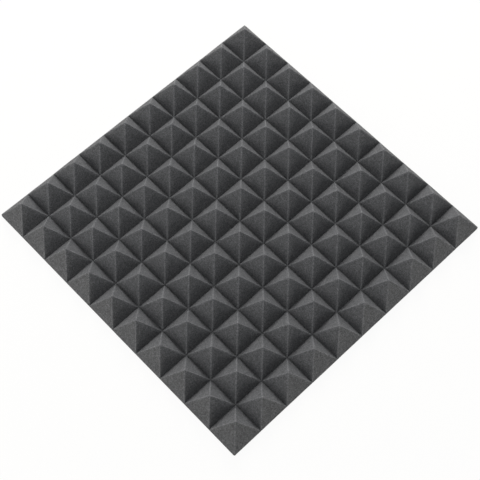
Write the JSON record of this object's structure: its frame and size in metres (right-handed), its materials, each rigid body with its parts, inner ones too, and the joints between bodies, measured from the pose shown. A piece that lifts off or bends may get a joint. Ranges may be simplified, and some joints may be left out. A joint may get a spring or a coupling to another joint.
{
  "type": "acoustic foam panel",
  "caption": "Square acoustic panel of open-cell foam, cut into a grid of pyramids on a thin base, with a self-adhesive back under a split release liner.",
  "frame": {"origin": "middle of the back face, on the plane that the tile lies on", "axes": "+Z out of the back through the pyramids, X and Y along the tile's sides"},
  "size_m": [0.5, 0.5, 0.0431],
  "materials": {
    "foam": "matte",
    "adhesive": "gloss",
    "liner": "satin"
  },
  "bodies": {
    "root": {"foam_tile": "foam", "adhesive_film": "adhesive", "release_liner_left": "liner", "release_liner_right": "liner"}
  },
  "joints": []
}
